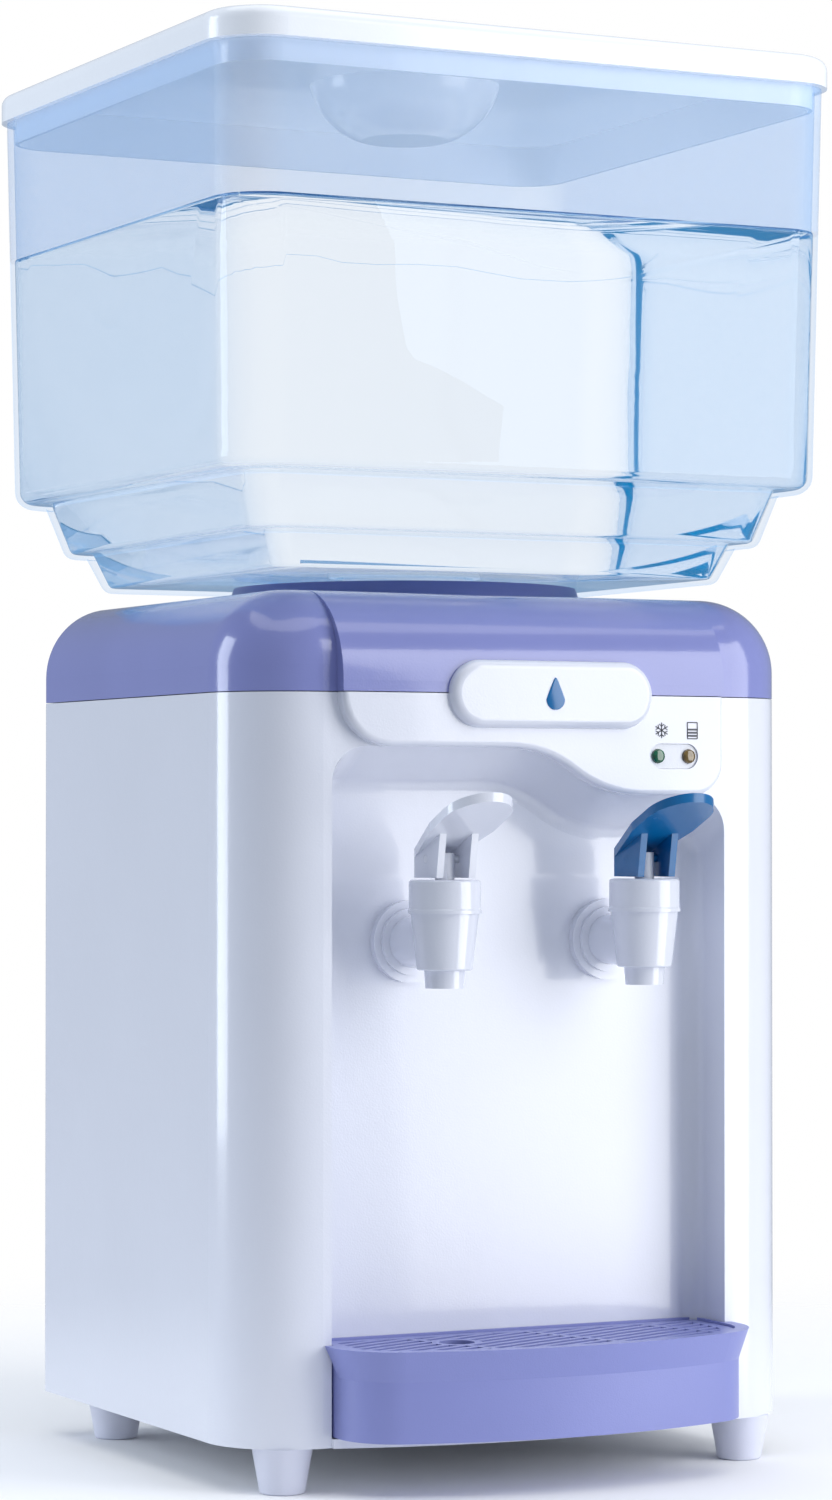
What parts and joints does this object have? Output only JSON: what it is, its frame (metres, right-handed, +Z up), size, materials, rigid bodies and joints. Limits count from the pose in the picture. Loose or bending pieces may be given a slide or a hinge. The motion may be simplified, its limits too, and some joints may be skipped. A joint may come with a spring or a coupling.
{
  "type": "countertop water dispenser",
  "caption": "Countertop cooler with a clear stepped water tank, lift-off lid, two push-lever taps in a recessed bay and a removable drip tray.",
  "frame": {"origin": "under the middle of the whole object's box, on the surface it stands on", "axes": "+X to the right of a user who faces the taps, +Y to the rear, +Z up"},
  "size_m": [0.2302, 0.2459, 0.475],
  "materials": {
    "white_gloss": "glossy moulded plastic",
    "lavender_gloss": "glossy moulded plastic",
    "lavender_satin": "satin moulded plastic",
    "tank_clear": "clear blue-tinted plastic",
    "water": "clear",
    "white_satin": "satin moulded plastic",
    "blue_gloss": "glossy moulded plastic",
    "foot_grey": "satin moulded plastic",
    "lamp_green": "tinted lens",
    "lamp_amber": "tinted lens",
    "silicone": "translucent rubber",
    "black_plastic": "satin moulded plastic",
    "dark_rubber": "matte",
    "steel": "zinc plated",
    "aluminium": "extruded",
    "ceramic": "ceramic plates",
    "foam": "expanded foam",
    "circuit_board": "solder mask",
    "print_grey": "printed ink"
  },
  "bodies": {
    "housing": {"amber_lamp": "lamp_amber", "ambient_tube": "silicone", "badge_plate": "white_gloss", "base_plate": "white_satin", "base_screws": "steel", "cold_block": "aluminium", "cold_reservoir": "steel", "cold_tube": "silicone", "control_board": "circuit_board", "cord_gland": "dark_rubber", "fan_frame": "black_plastic", "feet": "foot_grey", "green_lamp": "lamp_green", "heat_sink": "aluminium", "housing_shell": "white_gloss", "indicator_bezel": "white_satin", "inlet_sleeve": "silicone", "level_stem": "white_satin", "power_supply": "circuit_board", "rear_panel": "white_satin", "rear_screws": "steel", "reservoir_insulation": "foam", "socket_gasket": "silicone", "switch_frame": "black_plastic", "tank_socket": "lavender_gloss", "tap_body_left": "white_gloss", "tap_body_right": "white_gloss", "tap_cap_left": "white_gloss", "tap_cap_right": "white_gloss", "tap_nut_left": "white_satin", "tap_nut_right": "white_satin", "tap_spring_left": "steel", "tap_spring_right": "steel", "thermoelectric_module": "ceramic", "top_cover": "lavender_gloss", "valve_lift_pin": "white_satin"},
    "tray": {"drip_tray": "lavender_satin"},
    "grille": {"drip_grille": "lavender_satin"},
    "tank": {"tank_shell": "tank_clear", "tank_valve_body": "white_satin", "tank_valve_cage": "white_satin", "tank_valve_spring": "steel"},
    "tank_valve": {"tank_valve_poppet": "silicone"},
    "lid": {"lid": "white_gloss"},
    "fan": {"fan_rotor": "black_plastic"},
    "float": {"level_float": "white_satin"},
    "rocker": {"switch_rocker": "black_plastic"},
    "left_plunger": {"tap_plunger_left": "white_satin", "tap_seal_left": "silicone", "tap_pin_left": "white_satin"},
    "left_lever": {"tap_lever_left": "white_gloss"},
    "right_plunger": {"tap_plunger_right": "white_satin", "tap_seal_right": "silicone", "tap_pin_right": "blue_gloss"},
    "right_lever": {"tap_lever_right": "blue_gloss"}
  },
  "joints": [
    {"name": "tray_slide", "type": "slide", "parent": "housing", "child": "tray", "axis": [0, -1, 0], "range_m": [0, 0.06]},
    {"name": "grille_lift", "type": "slide", "parent": "tray", "child": "grille", "axis": [0, 0, 1], "range_m": [0, 0.03]},
    {"name": "tank_lift", "type": "slide", "parent": "housing", "child": "tank", "axis": [0, 0, 1], "range_m": [0, 0.06]},
    {"name": "tank_valve_slide", "type": "slide", "parent": "tank", "child": "tank_valve", "axis": [0, 0, 1], "range_m": [-0.0027, 0], "stiffness_N_per_m": 60, "springref_m": -0.006, "deforming": ["tank_valve_spring"]},
    {"name": "lid_lift", "type": "slide", "parent": "tank", "child": "lid", "axis": [0, 0, 1], "range_m": [0, 0.04]},
    {"name": "fan_spin", "type": "hinge", "parent": "housing", "child": "fan", "pos_m": [0.022, 0.075, 0.205], "axis": [0, 1, 0], "continuous": true},
    {"name": "float_slide", "type": "slide", "parent": "housing", "child": "float", "axis": [0, 0, 1], "range_m": [0, 0.03]},
    {"name": "rocker_tilt", "type": "hinge", "parent": "housing", "child": "rocker", "pos_m": [-0.0732, 0.0915, 0.077], "axis": [1, 0, 0], "range_deg": [-24, 0]},
    {"name": "left_plunger_slide", "type": "slide", "parent": "housing", "child": "left_plunger", "axis": [0, 0, 1], "range_m": [0, 0.0034], "stiffness_N_per_m": 30, "springref_m": -0.004, "deforming": ["tap_spring_left"]},
    {"name": "left_lever_press", "type": "hinge", "parent": "left_plunger", "child": "left_lever", "pos_m": [-0.037, -0.0889, 0.2035], "axis": [1, 0, 0], "range_deg": [0, 24]},
    {"name": "right_plunger_slide", "type": "slide", "parent": "housing", "child": "right_plunger", "axis": [0, 0, 1], "range_m": [0, 0.0034], "stiffness_N_per_m": 30, "springref_m": -0.004, "deforming": ["tap_spring_right"]},
    {"name": "right_lever_press", "type": "hinge", "parent": "right_plunger", "child": "right_lever", "pos_m": [0.037, -0.0889, 0.2035], "axis": [1, 0, 0], "range_deg": [0, 24]}
  ],
  "couplings": [
    {"joint": "tank_valve_slide", "follows": "tank_lift", "ratio": -0.045},
    {"joint": "left_lever_press", "follows": "left_plunger_slide", "rad_per_m": 123},
    {"joint": "right_lever_press", "follows": "right_plunger_slide", "rad_per_m": 123}
  ]
}
